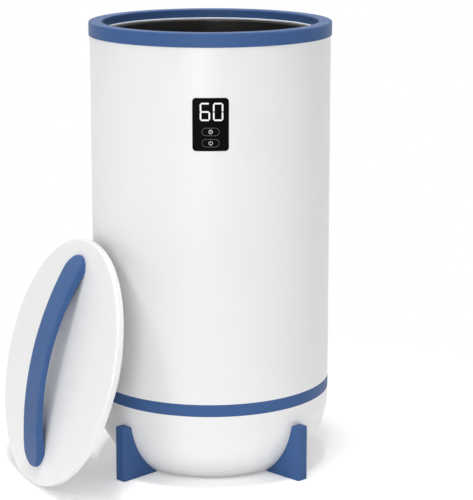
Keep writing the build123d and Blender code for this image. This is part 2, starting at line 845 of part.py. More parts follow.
def thermostat():
    """Disc thermostat against the underside of the bucket, with its two tabs below."""
    tab = Pos(thermostat_tab_spacing / 2, 0, -thermostat_tab[2]) * block(*thermostat_tab)
    tabs = [tab, Rot(0, 0, 180) * tab]
    disc = rod(thermostat_radius, thermostat_height)
    return Pos(0, thermostat_y, bucket_under_z - thermostat_height) * (disc + tabs)


def bracket_reach():
    """Distance of the bracket's screws from the thermostat's centre."""
    return thermostat_radius + 2 * bracket_clearance + bracket_thickness + screw_head_radius


def stud_places():
    """Places on the bucket's underside where the sensor hardware is screwed on."""
    sides = [(side * bracket_reach(), thermostat_y) for side in (-1, 1)]
    return [Pos(x, y, bucket_under_z) for x, y in sides + [(fuse_x, 0), (sensor_x, 0)]]


def stud_hole(place):
    """Hole for a stud below the bucket, longer than what hangs on it is thick."""
    return place * Pos(0, 0, -thermostat_height) * hole(screw_pass, thermostat_height)


def thermostat_bracket():
    """Strap that holds the thermostat up against the bucket."""
    hat = thermostat_radius + bracket_clearance
    low = bucket_under_z - thermostat_height - bracket_thickness
    wing = bracket_reach() + bracket_width / 2
    outline = Polyline(
        (-wing, bucket_under_z),
        (-hat, bucket_under_z),
        (-hat, low + bracket_thickness),
        (hat, low + bracket_thickness),
        (hat, bucket_under_z),
        (wing, bucket_under_z),
        (wing, bucket_under_z - bracket_thickness),
        (hat + bracket_thickness, bucket_under_z - bracket_thickness),
        (hat + bracket_thickness, low),
        (-hat - bracket_thickness, low),
        (-hat - bracket_thickness, bucket_under_z - bracket_thickness),
        (-wing, bucket_under_z - bracket_thickness),
        close=True,
    )
    centre = Plane((0, thermostat_y, 0), x_dir=(1, 0, 0), z_dir=(0, -1, 0))
    strap = extrude(centre * make_face(outline), bracket_width / 2, both=True)
    drills = [stud_hole(place) for place in stud_places()[:2]]
    window_width = thermostat_tab_spacing + thermostat_tab[0] + 2 * tab_clearance
    tab_window = block(window_width, thermostat_tab[1] + 2 * tab_clearance, bracket_thickness)
    return strap - drills - Pos(0, thermostat_y, low) * tab_window


def sensor_screws():
    """Studs and nuts, as screws, that hold the bracket, fuse clip and sensor lug."""
    grips = [bracket_thickness] * 3 + [sensor_lug_thickness]
    return [place * Pos(0, 0, -grip) * screw(grip) for place, grip in zip(stud_places(), grips)]


def saddle_length():
    """Length of the fuse clip's saddle, across the fuse."""
    return 2 * (fuse_radius + fit_gap + bracket_thickness)


def saddle_y():
    """Depth of the saddle's centre, clear of the clip's screw."""
    return screw_head_radius + fuse_saddle_gap + saddle_length() / 2


def fuse_clip():
    """Flat clip with a raised saddle over the thermal fuse."""
    plate_length = saddle_y() + bracket_width / 2
    plate = Pos(0, saddle_y() - plate_length / 2, bucket_under_z - bracket_thickness)
    plate = plate * block(bracket_width, plate_length, bracket_thickness)
    low = bucket_under_z - 2 * fuse_radius - bracket_thickness - seat_gap
    saddle = Pos(0, saddle_y(), low) * block(bracket_width, saddle_length(), bucket_under_z - low)
    pocket = block(bracket_width, saddle_length() - 2 * bracket_thickness, bucket_under_z - low)
    clip = plate + saddle - Pos(0, saddle_y(), low + bracket_thickness) * pocket
    return Pos(fuse_x, 0, 0) * clip - stud_hole(stud_places()[2])


def thermal_fuse():
    """One-shot fuse lying along X in its clip, against the bucket."""
    body = Cylinder(fuse_radius, fuse_length) + Cylinder(fuse_wire_radius, fuse_length + 2 * fuse_wire_length)
    return Pos(fuse_x, saddle_y(), bucket_under_z - fuse_radius - seat_gap / 2) * Rot(0, 90, 0) * body


def temperature_sensor():
    """Ring lug with the sensor's bead, flat on the bucket's underside."""
    bead_x = -sensor_lug_radius - sensor_bead_length / 3
    bead_z = sensor_lug_thickness - sensor_bead_radius - fit_gap
    bead = Pos(bead_x, 0, bead_z) * Rot(0, 90, 0) * Cylinder(sensor_bead_radius, sensor_bead_length)
    body = rod(sensor_lug_radius, sensor_lug_thickness) + bead
    return Pos(sensor_x, 0, bucket_under_z - sensor_lug_thickness) * body - stud_hole(stud_places()[3])


def heater_leads():
    """Two leads from the heating mat's back edge down through the chassis to the terminals."""
    mat_y = heater_radius() + heater_thickness / 2
    mouth_y = power_board_size[1] / 2 - terminal_setback
    mouth_z = board_top_z + terminal_mouth_rise + terminal_mouth[2] / 2
    route = [
        (mat_y, heater_low_z + wire_bend),
        (mat_y, chassis_top_z + 2 * wire_bend),
        (wire_drop_radius, chassis_top_z + wire_bend),
        (wire_drop_radius, neck_top_z - 4 * wire_bend),
        (mouth_y + wire_bend, mouth_z),
        (mouth_y, mouth_z),
    ]
    lead = extrude(Plane.YZ * trace(Polyline(*route), lead_thickness), lead_thickness / 2, both=True)
    return [Pos(side * heater_seam / 4, 0, 0) * lead for side in (-1, 1)]


# --- Cord inlet -----------------------------------------------------------------
def along_inlet():
    """Place on the inlet pad's face, with +Z pointing back out of the bowl."""
    return Pos(0, gland_pad_face_y, gland_z) * Rot(-90, 0, 0)


def cord_gland():
    """Bushing through the back of the bowl, with the cord's hole left open."""
    shank = Pos(0, 0, -gland_shank_length) * rod(gland_shank_radius, gland_shank_length)
    flange = rod(gland_flange_radius, gland_flange_thickness)
    flange = fillet(flange.edges().group_by(Axis.Z)[-1], gland_flange_round)
    bore = rod(gland_bore_radius, gland_shank_length + gland_flange_thickness)
    return along_inlet() * (shank + flange - Pos(0, 0, -gland_shank_length) * bore)


def gland_nut():
    """Hexagon nut that clamps the bushing from inside."""
    hexagon = extrude(RegularPolygon(gland_nut_radius, 6), gland_nut_thickness)
    nut = hexagon - rod(gland_shank_radius + screw_grip, gland_nut_thickness)
    return along_inlet() * Pos(0, 0, -gland_pad_depth - gland_nut_thickness) * nut


# --- Lid ------------------------------------------------------------------------
def lid_place():
    """Place of the leaning lid: its seat's centre, +Y up its face and +Z out of its top."""
    lean = radians(lid_lean)
    side = radians(lid_azimuth)
    edge = lid_radius - lid_bottom_round
    height = edge * cos(lean) - lid_bottom_round * sin(lean) + lid_bottom_round
    bend_radius, bend_z = plug_bend_centre()
    plug_edge = bend_radius * sin(lean) - bend_z * cos(lean) + plug_round
    reach = body_radius + lid_body_gap + plug_edge
    centre = (-reach * cos(side), -reach * sin(side), height)
    outwards = (-cos(side) * cos(lean), -sin(side) * cos(lean), sin(lean))
    across = (sin(side), -cos(side), 0)
    return Plane(centre, x_dir=across, z_dir=outwards).location * Rot(0, 0, lid_spin)


def plug_taper():
    """Angle between the plug's floor and its tapered side, in radians."""
    return atan2(plug_depth - plug_straight_depth, plug_radius - plug_floor_radius)


def plug_bend_centre():
    """Centre of the round between the plug's floor and its tapered side, as (radius, height)."""
    return (plug_floor_radius - plug_round * tan(plug_taper() / 2), plug_round - plug_depth)


def lid_boss_places(height):
    """Places of the four bosses that join the lid's cover and liner."""
    return around(4, lid_boss_circle, height)


def handle_screw_places(height):
    """Places of the two handle screws."""
    reach = handle_length / 2 - handle_screw_inset
    return [Pos(0, end * reach, height) for end in (-1, 1)]


def lid_cover():
    """White disc with a rounded edge and a short skirt, and bosses inside."""
    skirt = lid_radius - lid_wall
    inside = Polyline(
        (0, lid_edge_height),
        (0, lid_plate_z),
        (skirt, lid_plate_z),
        (skirt, 0),
        (lid_radius - lid_bottom_round, 0),
    )
    disc = turned(
        inside,
        corner((lid_radius - lid_bottom_round, lid_bottom_round), lid_bottom_round, 270),
        Line((lid_radius, lid_bottom_round), (lid_radius, lid_edge_height - lid_top_round)),
        corner((lid_radius - lid_top_round, lid_edge_height - lid_top_round), lid_top_round, 0),
        Line((lid_radius - lid_top_round, lid_edge_height), (0, lid_edge_height)),
    )
    boss_height = lid_plate_z - liner_floor_z
    boss = rod(lid_boss_radius, boss_height) - hole(screw_grip, boss_height / 2)
    bosses = [place * boss for place in lid_boss_places(liner_floor_z)]
    drills = [place * hole(screw_pass, lid_wall) for place in handle_screw_places(lid_plate_z)]
    return disc + bosses - drills


def lid_liner():
    """White plug under the lid: a stepped and tapered tub that fills the bucket's mouth."""
    step_inner = plug_step_radius - liner_wall
    inner = plug_radius - liner_wall
    flange_radius = lid_radius - lid_wall - fit_gap
    step_z = -plug_step_depth
    outside = Polyline(
        (flange_radius, 0),
        (plug_step_radius, 0),
        (plug_step_radius, step_z),
        (plug_radius, step_z),
        (plug_radius, -plug_straight_depth),
        bend_point(plug_round),
    )
    bend_radius, bend_z = plug_bend_centre()
    floor = Polyline((bend_radius, -plug_depth), (0, -plug_depth), (0, liner_floor_z))
    inside = Polyline(
        (0, liner_floor_z),
        (inner_floor_radius(), liner_floor_z),
        (inner, inner_taper_z()),
        (inner, step_z + liner_wall),
        (step_inner, step_z + liner_wall),
        (step_inner, liner_flange),
        (flange_radius, liner_flange),
        (flange_radius, 0),
    )
    bend = CenterArc((bend_radius, bend_z), plug_round, 270, degrees(plug_taper()))
    tub = turned(outside, bend, floor, inside)
    groove = ring(plug_step_radius - seal_inlay, plug_step_radius, -seal_drop - seal_height, -seal_drop)
    holes = [place * hole(screw_pass, liner_wall) for place in lid_boss_places(-plug_depth)]
    return tub - groove - holes


def bend_point(radius):
    """Point where the round of the plug's floor meets its tapered side."""
    bend_radius, bend_z = plug_bend_centre()
    return (bend_radius + radius * sin(plug_taper()), bend_z - radius * cos(plug_taper()))


def inner_floor_radius():
    """Radius of the flat inside the plug, where the tapered wall keeps its thickness."""
    return plug_floor_radius - liner_wall * tan(plug_taper() / 2)


def inner_taper_z():
    """Height inside the plug where its tapered wall meets its upright wall."""
    upright = radians(90) - plug_taper()
    return liner_wall * tan(upright / 2) - plug_straight_depth


def lid_seal():
    """Rubber ring in the plug's groove, with a rounded lip towards the rim ring."""
    outer = plug_step_radius + seal_lip
    band = ring(plug_step_radius - seal_inlay, outer, -seal_drop - seal_height, -seal_drop)
    return fillet(band.edges().filter_by(GeomType.CIRCLE).group_by(SortBy.RADIUS)[-1], seal_height / 4)


def lid_insulation():
    """Foam inside the plug, tapered like it and cut round the bosses."""
    radius = plug_radius - liner_wall - lid_foam_gap
    top = lid_plate_z - lid_foam_top_gap
    foam = turned(
        Polyline(
            (0, liner_floor_z),
            (inner_floor_radius() - lid_foam_gap, liner_floor_z),
            (radius, inner_taper_z()),
            (radius, top),
            (0, top),
            close=True,
        )
    )
    well = rod(lid_boss_radius + fit_gap, top - liner_floor_z)
    return foam - [place * well for place in lid_boss_places(liner_floor_z)]


def lid_liner_screws():
    """Four screws up through the plug's floor into the cover's bosses."""
    return [place * screw(3 * liner_wall) for place in lid_boss_places(-plug_depth)]


def handle_screws():
    """Two screws from inside the lid up into the handle's ends."""
    return [place * screw(lid_wall + handle_screw_bite) for place in handle_screw_places(lid_plate_z)]


def lid_handle():
    """Blue strap arched over the lid, with full round ends and softened edges."""
    reach = handle_length / 2
    gap = handle_gap_length / 2
    top = lid_edge_height
    side_view = make_face(
        ThreePointArc((-reach, top + handle_end_rise), (0, top + handle_rise), (reach, top + handle_end_rise))
        + Polyline((reach, top + handle_end_rise), (reach, top), (gap, top))
        + ThreePointArc((gap, top), (0, top + handle_gap_height), (-gap, top))
        + Polyline((-gap, top), (-reach, top), (-reach, top + handle_end_rise))
    )
    strap = extrude(Plane.YZ * side_view, handle_width / 2, both=True)
    outline = Rot(0, 0, 90) * SlotOverall(handle_length, handle_width)
    strap = strap & Pos(0, 0, top) * extrude(outline, handle_rise)
    crown = strap.faces().sort_by(Axis.Z)[-1]
    strap = fillet(crown.edges(), handle_edge_round)
    drill = hole(screw_grip, handle_screw_bite + overrun)
    return strap - [place * drill for place in handle_screw_places(top)]


# --- Build and write ---------------------------------------------------------------
def build_base():
    """Bowl, trim, cover, feet and what they hold."""
    save("base_bowl", base_bowl())
    save("trim_ring", trim_ring())
    save("base_cover", base_cover())
    save("base_ring", base_ring())
    save("base_cover_screws", *base_cover_screws())
    save("chassis", chassis())
    names = ("foot_front_right", "foot_rear_right", "foot_rear_left", "foot_front_left")
    for name, azimuth in zip(names, foot_azimuths):
        save(name, foot(azimuth))
    save("foot_pads", *foot_pads())
    save("foot_screws", *foot_screws())
    save("cord_gland", cord_gland())
    save("gland_nut", gland_nut())


def build_body():
    """Shell, rim, bucket, heater and insulation."""
    save("outer_shell", outer_shell())
    save("rim_ring", rim_ring())
    save("inner_gasket", inner_gasket())
    save("inner_bucket", inner_bucket())
    save("upper_frame", upper_frame())
    save("heater_wrap", heater_wrap())
    save("insulation_sleeve", insulation_sleeve())


def build_controls():
    """Display window, housing, board, buttons and switches."""
    save("display_window", display_window())
    save("control_housing", control_housing())
    save("control_board", control_board())
    save("control_screws", *control_screws())
    save("display_module", display_module())
    for name, height in (("timer", timer_button_z), ("power", power_button_z)):
        save(f"{name}_button", button(height))
        save(f"{name}_switch", switch_body(height))
        save(f"{name}_switch_plunger", switch_plunger(height))
    save("ribbon_cable", ribbon_cable())
    save("ribbon_connectors", *ribbon_connectors())


def build_electronics():
    """Power board, sensors and leads."""
    save("power_board", power_board())
    save("power_board_screws", *power_board_screws())
    save("relay", relay())
    save("transformer", transformer())
    save("filter_capacitor", filter_capacitor())
    save("terminal_block", terminal_block())
    save("thermostat", thermostat())
    save("thermostat_bracket", thermostat_bracket())
    save("sensor_screws", *sensor_screws())
    save("fuse_clip", fuse_clip())
    save("thermal_fuse", thermal_fuse())
    save("temperature_sensor", temperature_sensor())
    save("heater_leads", *heater_leads())


def build_lid():
    """All lid pieces, set down in the leaning place."""
    place = lid_place()
    save("lid_cover", place * lid_cover())
    save("lid_liner", place * lid_liner())
    save("lid_seal", place * lid_seal())
    save("lid_insulation", place * lid_insulation())
    save("lid_handle", place * lid_handle())
    save("handle_screws", *[place * piece for piece in handle_screws()])
    save("lid_liner_screws", *[place * piece for piece in lid_liner_screws()])


os.makedirs("parts", exist_ok=True)
build_base()
build_body()
build_controls()
build_electronics()
build_lid()
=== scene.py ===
import math

import bmesh
import bpy
import numpy as np
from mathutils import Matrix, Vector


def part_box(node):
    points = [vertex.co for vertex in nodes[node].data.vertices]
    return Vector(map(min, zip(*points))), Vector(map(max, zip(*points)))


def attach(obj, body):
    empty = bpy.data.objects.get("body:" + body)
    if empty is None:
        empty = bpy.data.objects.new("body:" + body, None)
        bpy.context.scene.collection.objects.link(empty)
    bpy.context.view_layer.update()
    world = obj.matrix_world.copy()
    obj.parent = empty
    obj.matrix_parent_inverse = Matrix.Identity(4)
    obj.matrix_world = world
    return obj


bl_info = {
    "name": "Towel warmer bucket",
    "version": (1, 0, 0),
    "blender": (4, 5, 0),
    "location": "3D View > Sidebar > Bucket",
    "description": "Finishes, display figures, button marks and studio for the towel warmer bucket",
    "category": "Object",
}

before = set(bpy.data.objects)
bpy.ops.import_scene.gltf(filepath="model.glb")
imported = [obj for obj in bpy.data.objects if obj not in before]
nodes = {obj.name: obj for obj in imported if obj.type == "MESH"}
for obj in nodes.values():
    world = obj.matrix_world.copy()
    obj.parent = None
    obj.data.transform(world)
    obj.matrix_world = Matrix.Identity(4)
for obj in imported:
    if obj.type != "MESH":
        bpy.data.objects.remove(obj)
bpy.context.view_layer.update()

MM = 0.001

# Meshes: points nearer to each other than this become one.
SEAM = 0.0005 * MM

# Marks on the panel: points round a mark's section, the power that squares its oval, and the width under
# which a mark gets lower as it gets narrower.
SECTION_POINTS = 12
SQUARENESS = 0.45
NARROW = 0.2 * MM
# Figures: how far right of the middle they stand, points along a bar, and a bar's width at its very end as
# a share of its full width.
FIGURES_SHIFT = 1.1 * MM
BAR_POINTS = 15
BAR_TIP = 0.12
# Buttons: depth under the window's face to which a point counts as the button's face, how many line widths
# the line's middle lies inside the button's edge, and points along a half circle and along a side.
FACE_DEPTH = 0.05 * MM
LINE_INSET = 0.6
END_POINTS = 17
SIDE_POINTS = 9

# Studio: height above the floor that the lamps look at, and the floor's rings.
LAMP_AIM = 0.25
FLOOR_RINGS = 20
FLOOR_SPOKES = 96
FLOOR_FIRST_RING = 0.05
FLOOR_GROWTH = 1.35

GREY = (0.5, 0.5, 0.5, 1.0)
WHITE = (1.0, 1.0, 1.0, 1.0)
PAPER = (0.98, 0.98, 0.98, 1.0)


# --- Settings ---------------------------------------------------------------
def colour(name, description, default):
    """Property for a colour of the bucket, in linear light."""
    return bpy.props.FloatVectorProperty(
        name=name, description=description, subtype="COLOR", size=3, min=0, max=1, default=default
    )


def length(name, description, default):
    """Property for a length, in metres."""
    settings = {"subtype": "DISTANCE", "unit": "LENGTH", "min": 0, "precision": 5}
    return bpy.props.FloatProperty(name=name, description=description, default=default, **settings)


def amount(name, description, default, high=10.0):
    """Property for a plain number."""
    return bpy.props.FloatProperty(name=name, description=description, min=0, max=high, default=default)


def power(name, description, default):
    """Property for the strength of a lamp, in watts."""
    return bpy.props.FloatProperty(
        name=name, description=description, unit="POWER", min=0, max=500, default=default
    )


def angle(name, description, degrees):
    """Property for an angle, given in degrees."""
    return bpy.props.FloatProperty(
        name=name, description=description, subtype="ANGLE", unit="ROTATION", default=math.radians(degrees)
    )


class BucketColours(bpy.types.PropertyGroup):
    """Colours of the bucket's finishes."""

    white: colour("White plastic", "Shell, bowl and lid", (0.82, 0.82, 0.82))
    blue: colour("Blue plastic", "Rim, trim ring, feet and handle", (0.048, 0.109, 0.270))
    window: colour("Window", "Display window and button caps", (0.0022, 0.0022, 0.0025))
    coating: colour("Bucket coating", "Inside of the bucket", (0.011, 0.0105, 0.010))
    silicone: colour("Silicone", "Ring in the mouth and the lid's seal", (0.74, 0.76, 0.78))
    figures: colour("Figures", "Lit figures of the display", (1.0, 1.0, 1.0))
    marks: colour("Marks", "Icons on the buttons", (0.80, 0.80, 0.82))
    outlines: colour("Outlines", "Lines round the buttons", (0.10, 0.10, 0.104))
    rubber: colour("Rubber", "Foot pads and base ring", (0.022, 0.022, 0.023))
    grey: colour("Grey plastic", "Plates and frames inside", (0.42, 0.43, 0.44))
    black: colour("Black plastic", "Housing, bushing and switches", (0.020, 0.020, 0.021))
    board: colour("Circuit board", "Lacquer of the boards", (0.010, 0.110, 0.040))
    felt: colour("Felt", "Sleeve round the heating mat", (0.62, 0.62, 0.59))
    foam: colour("Foam", "Filling of the lid", (0.80, 0.79, 0.72))
    heater: colour("Heating mat", "Silicone of the heating mat and its leads", (0.56, 0.15, 0.045))
    steel: colour("Steel", "Screws, brackets and sensors", (0.62, 0.62, 0.61))


class BucketMarks(bpy.types.PropertyGroup):
    """Sizes and places of the figures and marks on the control panel."""

    lift: length("Lift", "Marks stand this far out of the window", 0.06 * MM)
    thickness: length("Thickness", "Thickness of a mark", 0.16 * MM)
    digit_low: length("Digit foot", "Height of the digits' foot above the floor", 451.9 * MM)
    digit_height: length("Digit height", "Height of a digit", 21.4 * MM)
    digit_width: length("Digit width", "Width of a digit", 12.1 * MM)
    digit_step: length("Digit step", "Distance from one digit to the next", 15.4 * MM)
    bar_width: length("Bar width", "Width of a digit's bars", 1.90 * MM)
    bar_gap: length("Bar gap", "Dark gap between the bars of a digit", 0.42 * MM)
    outline_width: length("Outline width", "Width of the line round a button", 0.50 * MM)
    icon_radius: length("Icon radius", "Radius of an icon's ring", 2.15 * MM)
    icon_line: length("Icon line", "Width of an icon's lines", 0.55 * MM)


class BucketStudio(bpy.types.PropertyGroup):
    """Camera, lamps and floor."""

    distance: length("Distance", "Camera in front of the bucket's axis", 2.3595)
    height: length("Height", "Camera above the floor", 0.8014)
    tilt: angle("Tilt", "Camera looks down by this", 11.48)
    pan: angle("Pan", "Camera looks to the right by this", 0.78)
    lens: amount("Lens", "Focal length in millimetres", 138.5, 500.0)
    shift: amount("Shift", "Picture's centre below the camera's axis", 0.09, 1.0)
    sky: amount("Sky", "Light from all round", 0.42)
    key: power("Key", "Strength of the main lamp", 52.0)
    key_size: length("Key size", "Side of the main lamp", 1.15)
    key_azimuth: angle("Key azimuth", "Main lamp's place, from the front to the left", 36.0)
    key_elevation: angle("Key elevation", "Main lamp's height above the lamps' aim", 38.0)
    key_distance: length("Key distance", "Main lamp from the lamps' aim", 6.0)
    fill: power("Fill", "Strength of the soft lamp at the right", 7.0)
    fill_size: length("Fill size", "Side of the soft lamp", 1.8)
    fill_azimuth: angle("Fill azimuth", "Soft lamp's place, from the front to the right", 73.0)
    fill_elevation: angle("Fill elevation", "Soft lamp's height above the lamps' aim", 12.0)
    fill_distance: length("Fill distance", "Soft lamp from the lamps' aim", 5.0)
    low: power("Low", "Strength of the low lamp in front", 54.0)
    low_size: length("Low size", "Side of the low lamp", 1.0)
    low_azimuth: angle("Low azimuth", "Low lamp's place, from the front to the left", 10.0)
    low_elevation: angle("Low elevation", "Low lamp's height above the lamps' aim", 5.0)
    low_distance: length("Low distance", "Low lamp from the lamps' aim", 5.0)
    top: power("Top", "Strength of the lamp overhead", 190.0)
    top_size: length("Top size", "Side of the lamp overhead", 1.15)
    top_azimuth: angle("Top azimuth", "Overhead lamp's place, from the front to the left", 20.0)
    top_elevation: angle("Top elevation", "Overhead lamp's height above the lamps' aim", 86.0)
    top_distance: length("Top distance", "Overhead lamp from the lamps' aim", 6.0)
    glow: amount("Glow", "White added to the floor as the camera sees it", 0.24, 1.0)
    fade_start: length("Fade start", "Floor begins to go over to plain white here", 0.24)
    fade_end: length("Fade end", "Floor is plain white from here", 0.60)


GROUPS = {
    "bucket_colours": BucketColours,
    "bucket_marks": BucketMarks,
    "bucket_studio": BucketStudio,
}


# --- Shader nodes -------------------------------------------------------------
def add(tree, kind, inputs=None, **settings):
    """Adds a node to a tree, with its settings, and sets or links its inputs by name or number."""
    made = tree.nodes.new(kind)
    for name, value in settings.items():
        setattr(made, name, value)
    for name, value in (inputs or {}).items():
        socket = made.inputs[name]
        if isinstance(value, bpy.types.NodeSocket):
            tree.links.new(value, socket)
        else:
            socket.default_value = value
    return made


def math_node(tree, operation, first, second):
    """Value of a Math node."""
    return add(tree, "ShaderNodeMath", {0: first, 1: second}, operation=operation).outputs[0]


def ranged(tree, value, old, new=(0.0, 1.0)):
    """Value moved from an old range to a new one, clamped."""
    limits = {"From Min": old[0], "From Max": old[1], "To Min": new[0], "To Max": new[1]}
    return add(tree, "ShaderNodeMapRange", {"Value": value, **limits}).outputs["Result"]


def noise(tree, vector, scale, detail, roughness=0.5, distortion=0.0):
    """Value of a Noise texture."""
    inputs = {"Vector": vector, "Scale": scale, "Detail": detail}
    inputs |= {"Roughness": roughness, "Distortion": distortion}
    return add(tree, "ShaderNodeTexNoise", inputs).outputs["Fac"]


def shaded(tree, tint, value):
    """Colour made lighter or darker by a value."""
    return add(tree, "ShaderNodeHueSaturation", {"Color": tint, "Value": value}).outputs["Color"]


def mixed(tree, share, first, second):
    """Colour between two colours."""
    return add(tree, "ShaderNodeMix", {0: share, 6: first, 7: second}, data_type="RGBA").outputs[2]


def start_group(name, inputs):
    """Starts an effect's node group: inputs, each with a default, and the outputs that all effects have."""
    tree = bpy.data.node_groups.new(name, "ShaderNodeTree")
    for socket, value in inputs.items():
        kind = "NodeSocketColor" if isinstance(value, tuple) else "NodeSocketFloat"
        tree.interface.new_socket(socket, in_out="INPUT", socket_type=kind).default_value = value
    tree.interface.new_socket("Colour", in_out="OUTPUT", socket_type="NodeSocketColor")
    tree.interface.new_socket("Roughness", in_out="OUTPUT", socket_type="NodeSocketFloat")
    tree.interface.new_socket("Height", in_out="OUTPUT", socket_type="NodeSocketFloat")
    place = add(tree, "ShaderNodeTexCoord").outputs["Object"]
    return tree, add(tree, "NodeGroupInput").outputs, place


def end_group(tree, given, tint, change, height):
    """Puts out an effect's colour, its given roughness with a change that varies, and its height."""
    roughness = math_node(tree, "ADD", given["Roughness"], change)
    add(tree, "NodeGroupOutput", {"Colour": tint, "Roughness": roughness, "Height": height})


def moulded_skin():
    """Group: moulded plastic, with slow colour drift, handling marks in its gloss and a fine grain."""
    inputs = {"Colour": GREY, "Drift": 0.02, "Roughness": 0.3, "Marks": 0.05, "Grain Size": 1400.0}
    tree, given, place = start_group("moulded_skin", inputs)
    darkest = math_node(tree, "SUBTRACT", 1.0, given["Drift"])
    lightest = math_node(tree, "ADD", 1.0, given["Drift"])
    drift = ranged(tree, noise(tree, place, scale=9.0, detail=3.0), (0.35, 0.65), (darkest, lightest))
    wipes = noise(tree, place, scale=34.0, detail=5.0, roughness=0.6, distortion=1.4)
    rubbed = math_node(tree, "MULTIPLY", ranged(tree, wipes, (0.42, 0.72)), given["Marks"])
    grain = noise(tree, place, given["Grain Size"], detail=2.0)
    end_group(tree, given, shaded(tree, given["Colour"], drift), rubbed, grain)


def mineral_flecks():
    """Group: dark baked coating with a scatter of small grey flecks, one in the middle of some cells."""
    inputs = {"Colour": GREY, "Fleck": (0.030, 0.029, 0.028, 1.0), "Fleck Count": 420.0, "Roughness": 0.4}
    tree, given, place = start_group("mineral_flecks", inputs)
    cells = add(tree, "ShaderNodeTexVoronoi", {"Vector": place, "Scale": given["Fleck Count"]}).outputs
    chance = add(tree, "ShaderNodeSeparateColor", {0: cells["Color"]}).outputs[0]
    near = ranged(tree, cells["Distance"], (0.10, 0.24), (1.0, 0.0))
    fleck = math_node(tree, "MULTIPLY", near, ranged(tree, chance, (0.72, 0.80)))
    mottle = ranged(tree, noise(tree, place, scale=60.0, detail=4.0), (0.3, 0.7), (0.8, 1.25))
    tint = mixed(tree, fleck, shaded(tree, given["Colour"], mottle), given["Fleck"])
    patches = noise(tree, place, scale=26.0, detail=5.0, roughness=0.6, distortion=0.8)
    worn = ranged(tree, patches, (0.35, 0.7), (-0.05, 0.10))
    end_group(tree, given, tint, worn, noise(tree, place, scale=900.0, detail=3.0))


def brushed_grain():
    """Group: metal with fine lines along X, from a stretched noise, and a dulled patch here and there."""
    tree, given, place = start_group("brushed_grain", {"Colour": GREY, "Roughness": 0.28})
    stretch = {"Vector": place, "Scale": (60.0, 2600.0, 2600.0)}
    lines = noise(tree, add(tree, "ShaderNodeMapping", stretch).outputs[0], scale=1.0, detail=3.0)
    tint = shaded(tree, given["Colour"], ranged(tree, lines, (0.3, 0.7), (0.86, 1.08)))
    scratched = ranged(tree, lines, (0.3, 0.7), (-0.05, 0.05))
    dulled = ranged(tree, noise(tree, place, scale=90.0, detail=4.0), (0.4, 0.7), (0.0, 0.16))
    end_group(tree, given, tint, math_node(tree, "ADD", scratched, dulled), lines)


def soft_fibres():
    """Group: matted fibres, from a strongly bent fine noise over coarser tufts."""
    tree, given, place = start_group("soft_fibres", {"Colour": GREY, "Roughness": 0.9, "Fibre Size": 900.0})
    hairs = noise(tree, place, given["Fibre Size"], detail=4.0, roughness=0.7, distortion=3.0)
    tufts = noise(tree, place, scale=120.0, detail=3.0)
    fine = math_node(tree, "MULTIPLY", hairs, 0.6)
    coarse = math_node(tree, "MULTIPLY", tufts, 0.4)
    pile = math_node(tree, "ADD", fine, coarse)
    tint = shaded(tree, given["Colour"], ranged(tree, pile, (0.35, 0.65), (0.82, 1.08)))
    end_group(tree, given, tint, ranged(tree, tufts, (0.35, 0.65), (-0.06, 0.05)), pile)


def woven_mat():
    """Group: rubber over a woven glass cloth, whose threads cross as two sets of ridges."""
    inputs = {"Colour": GREY, "Roughness": 0.55, "Thread Count": 420.0}
    tree, given, place = start_group("woven_mat", inputs)
    ridges = {"Vector": place, "Scale": given["Thread Count"]}
    across = add(tree, "ShaderNodeTexWave", ridges, bands_direction="DIAGONAL").outputs["Fac"]
    upward = add(tree, "ShaderNodeTexWave", ridges, bands_direction="Z").outputs["Fac"]
    threads = math_node(tree, "MAXIMUM", across, upward)
    drift = ranged(tree, noise(tree, place, scale=45.0, detail=4.0), (0.3, 0.7), (0.85, 1.1))
    depth = math_node(tree, "MULTIPLY", drift, ranged(tree, threads, (0.0, 1.0), (0.88, 1.04)))
    worn = ranged(tree, threads, (0.0, 1.0), (0.10, -0.06))
    end_group(tree, given, shaded(tree, given["Colour"], depth), worn, threads)


def copper_tracks():
    """Group: circuit board lacquer over copper tracks, from the long bricks of a brick pattern."""
    inputs = {"Colour": GREY, "Track": (0.03, 0.20, 0.07, 1.0), "Roughness": 0.35}
    tree, given, place = start_group("copper_tracks", inputs)
    laid = {"Vector": place, "Scale": 120.0, "Mortar Size": 0.035, "Brick Width": 1.7, "Row Height": 0.34}
    tracks = add(tree, "ShaderNodeTexBrick", laid).outputs["Fac"]
    tint = mixed(tree, tracks, given["Colour"], given["Track"])
    dulled = ranged(tree, noise(tree, place, scale=80.0, detail=4.0), (0.35, 0.7), (-0.06, 0.14))
    end_group(tree, given, tint, dulled, tracks)


EFFECTS = (moulded_skin, mineral_flecks, brushed_grain, soft_fibres, woven_mat, copper_tracks)


def finish(name, effect, tint, effect_values, bump, constants=None):
    """Material with colour, gloss and height from one effect. Bump is a strength and a depth in mm."""
    material = bpy.data.materials.new(f"{name}_finish")
    material.use_nodes = True
    tree = material.node_tree
    tree.nodes.clear()
    given = {"Colour": (*tint, 1.0), **effect_values}
    skin = add(tree, "ShaderNodeGroup", given, node_tree=bpy.data.node_groups[effect]).outputs
    height = {"Height": skin["Height"], "Strength": bump[0], "Distance": bump[1] * MM}
    normal = add(tree, "ShaderNodeBump", height).outputs["Normal"]
    inputs = {"Base Color": skin["Colour"], "Roughness": skin["Roughness"], "Normal": normal}
    shader = add(tree, "ShaderNodeBsdfPrincipled", inputs | (constants or {}))
    add(tree, "ShaderNodeOutputMaterial", {"Surface": shader.outputs[0]})


